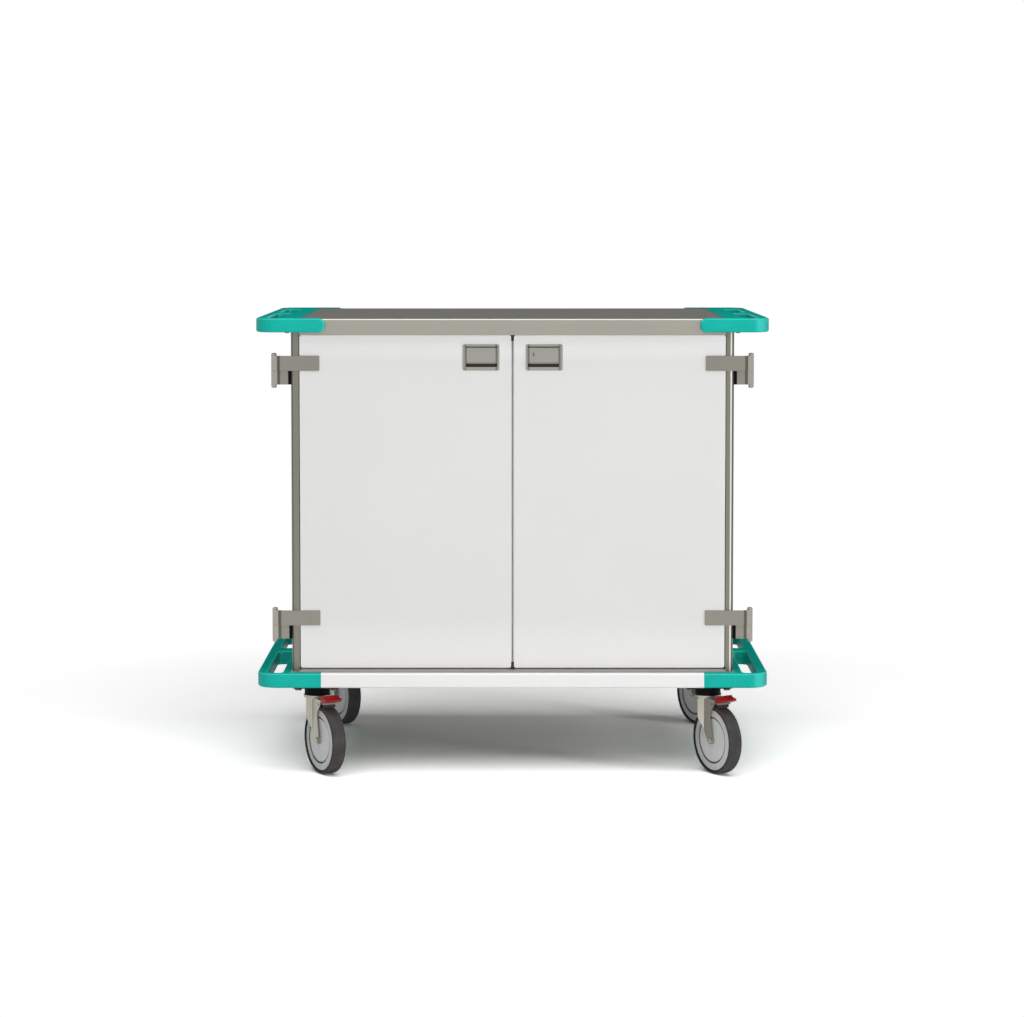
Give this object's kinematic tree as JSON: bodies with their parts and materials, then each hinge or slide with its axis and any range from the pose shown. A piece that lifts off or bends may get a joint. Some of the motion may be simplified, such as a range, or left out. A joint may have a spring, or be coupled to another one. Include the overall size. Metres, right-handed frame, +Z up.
{
  "type": "closed case cart",
  "caption": "Closed case cart on braked swivel casters, with hinged doors, inside shelves and moulded bumpers that form hand-holds along its sides.",
  "frame": {"origin": "on the floor, under the middle of the cabinet", "axes": "+X to the right as seen from the doors, +Y from the doors to the back, +Z up"},
  "size_m": [1.124, 0.7725, 1.0065],
  "materials": {
    "teal_plastic": "moulded, satin gloss",
    "white_paint": "smooth powder coat, satin",
    "grey_steel": "fine brushed, matt",
    "shell_steel": "fine brushed",
    "post_aluminium": "satin anodised",
    "hinge_steel": "satin",
    "latch_steel": "satin pressed",
    "lock_metal": "polished",
    "screw_steel": "satin",
    "black_seal": "matt black",
    "grey_seal": "matt grey",
    "black_plastic": "matt",
    "caster_steel": "zinc plated pressing",
    "race_steel": "black, satin",
    "hub_plastic": "satin light grey",
    "tyre_rubber": "matt dark grey",
    "red_plastic": "satin gloss"
  },
  "bodies": {
    "cart": {"deck_pan": "grey_steel", "caster_channels": "shell_steel", "front_base_rail": "white_paint", "rear_base_rail": "white_paint", "bottom_bumper_left": "teal_plastic", "bottom_bumper_right": "teal_plastic", "top_bumper_left": "teal_plastic", "top_bumper_right": "teal_plastic", "bumper_brackets": "shell_steel", "pan_head_screws": "screw_steel", "top_panel": "grey_steel", "side_panel_left": "shell_steel", "side_panel_right": "shell_steel", "rear_panel": "shell_steel", "corner_post_left": "post_aluminium", "corner_post_right": "post_aluminium", "top_frame_rail": "shell_steel", "bottom_frame_rail": "shell_steel", "latch_strikes": "shell_steel", "shelf_standards": "shell_steel", "shelf_clips": "screw_steel", "shelf_lower": "shell_steel", "shelf_upper": "shell_steel", "hinge_brackets": "hinge_steel", "hinge_spacers": "black_plastic", "caster_plates": "race_steel", "caster_bolts": "screw_steel"},
    "door_left": {"door_skin_left": "white_paint", "door_liner_left": "white_paint", "door_gasket_left": "black_seal", "door_edge_seal_left": "grey_seal", "hinge_straps_left": "hinge_steel", "latch_pan_left": "latch_steel"},
    "paddle_left": {"latch_paddle_left": "latch_steel"},
    "bolt_left": {"latch_bolt_left": "screw_steel"},
    "door_right": {"door_skin_right": "white_paint", "door_liner_right": "white_paint", "door_gasket_right": "black_seal", "door_edge_seal_right": "grey_seal", "hinge_straps_right": "hinge_steel", "latch_pan_right": "latch_steel"},
    "paddle_right": {"latch_paddle_right": "latch_steel"},
    "bolt_right": {"latch_bolt_right": "screw_steel"},
    "lock": {"lock_cylinder": "lock_metal"},
    "fork_front_left": {"caster_fork_front_left": "caster_steel"},
    "wheel_front_left": {"wheel_hub_front_left": "hub_plastic", "wheel_tyre_front_left": "tyre_rubber"},
    "pedal_front_left": {"brake_pedal_front_left": "red_plastic"},
    "fork_front_right": {"caster_fork_front_right": "caster_steel"},
    "wheel_front_right": {"wheel_hub_front_right": "hub_plastic", "wheel_tyre_front_right": "tyre_rubber"},
    "pedal_front_right": {"brake_pedal_front_right": "red_plastic"},
    "fork_rear_left": {"caster_fork_rear_left": "caster_steel"},
    "wheel_rear_left": {"wheel_hub_rear_left": "hub_plastic", "wheel_tyre_rear_left": "tyre_rubber"},
    "pedal_rear_left": {"brake_pedal_rear_left": "red_plastic"},
    "fork_rear_right": {"caster_fork_rear_right": "caster_steel"},
    "wheel_rear_right": {"wheel_hub_rear_right": "hub_plastic", "wheel_tyre_rear_right": "tyre_rubber"},
    "pedal_rear_right": {"brake_pedal_rear_right": "red_plastic"}
  },
  "joints": [
    {"name": "door_left_hinge", "type": "hinge", "parent": "cart", "child": "door_left", "pos_m": [-0.524, -0.32, 0.6], "axis": [0, 0, -1], "range_deg": [0, 270]},
    {"name": "paddle_left_pull", "type": "hinge", "parent": "door_left", "child": "paddle_left", "pos_m": [-0.06775, -0.325, 0.938], "axis": [-1, 0, 0], "range_deg": [0, 30], "stiffness_Nm_per_rad": 0.25, "springref_deg": -8.59},
    {"name": "bolt_left_slide", "type": "slide", "parent": "door_left", "child": "bolt_left", "axis": [0, 0, -1], "range_m": [0, 0.0076]},
    {"name": "door_right_hinge", "type": "hinge", "parent": "cart", "child": "door_right", "pos_m": [0.524, -0.32, 0.6], "axis": [0, 0, 1], "range_deg": [0, 270]},
    {"name": "paddle_right_pull", "type": "hinge", "parent": "door_right", "child": "paddle_right", "pos_m": [0.06775, -0.325, 0.938], "axis": [-1, 0, 0], "range_deg": [0, 30], "stiffness_Nm_per_rad": 0.25, "springref_deg": -8.59},
    {"name": "bolt_right_slide", "type": "slide", "parent": "door_right", "child": "bolt_right", "axis": [0, 0, -1], "range_m": [0, 0.0076]},
    {"name": "lock_turn", "type": "hinge", "parent": "paddle_right", "child": "lock", "pos_m": [0.0462, -0.33, 0.925], "axis": [0, -1, 0], "range_deg": [0, 90]},
    {"name": "caster_front_left_swivel", "type": "hinge", "parent": "cart", "child": "fork_front_left", "pos_m": [-0.433, -0.3035, 0.17], "axis": [0, 0, 1], "continuous": true},
    {"name": "wheel_front_left_roll", "type": "hinge", "parent": "fork_front_left", "child": "wheel_front_left", "pos_m": [-0.414, -0.33641, 0.075], "axis": [0.866, 0.5, 0], "continuous": true},
    {"name": "brake_front_left_press", "type": "hinge", "parent": "fork_front_left", "child": "pedal_front_left", "pos_m": [-0.41, -0.34334, 0.157], "axis": [0.866, 0.5, 0], "range_deg": [0, 8]},
    {"name": "caster_front_right_swivel", "type": "hinge", "parent": "cart", "child": "fork_front_right", "pos_m": [0.433, -0.3035, 0.17], "axis": [0, 0, 1], "continuous": true},
    {"name": "wheel_front_right_roll", "type": "hinge", "parent": "fork_front_right", "child": "wheel_front_right", "pos_m": [0.452, -0.33641, 0.075], "axis": [0.866, 0.5, 0], "continuous": true},
    {"name": "brake_front_right_press", "type": "hinge", "parent": "fork_front_right", "child": "pedal_front_right", "pos_m": [0.456, -0.34334, 0.157], "axis": [0.866, 0.5, 0], "range_deg": [0, 8]},
    {"name": "caster_rear_left_swivel", "type": "hinge", "parent": "cart", "child": "fork_rear_left", "pos_m": [-0.433, 0.3035, 0.17], "axis": [0, 0, 1], "continuous": true},
    {"name": "wheel_rear_left_roll", "type": "hinge", "parent": "fork_rear_left", "child": "wheel_rear_left", "pos_m": [-0.414, 0.27059, 0.075], "axis": [0.866, 0.5, 0], "continuous": true},
    {"name": "brake_rear_left_press", "type": "hinge", "parent": "fork_rear_left", "child": "pedal_rear_left", "pos_m": [-0.41, 0.26366, 0.157], "axis": [0.866, 0.5, 0], "range_deg": [0, 8]},
    {"name": "caster_rear_right_swivel", "type": "hinge", "parent": "cart", "child": "fork_rear_right", "pos_m": [0.433, 0.3035, 0.17], "axis": [0, 0, 1], "continuous": true},
    {"name": "wheel_rear_right_roll", "type": "hinge", "parent": "fork_rear_right", "child": "wheel_rear_right", "pos_m": [0.452, 0.27059, 0.075], "axis": [0.866, 0.5, 0], "continuous": true},
    {"name": "brake_rear_right_press", "type": "hinge", "parent": "fork_rear_right", "child": "pedal_rear_right", "pos_m": [0.456, 0.26366, 0.157], "axis": [0.866, 0.5, 0], "range_deg": [0, 8]}
  ],
  "couplings": [
    {"joint": "bolt_left_slide", "follows": "paddle_left_pull", "m_per_rad": 0.0143},
    {"joint": "bolt_right_slide", "follows": "paddle_right_pull", "m_per_rad": 0.0143}
  ]
}
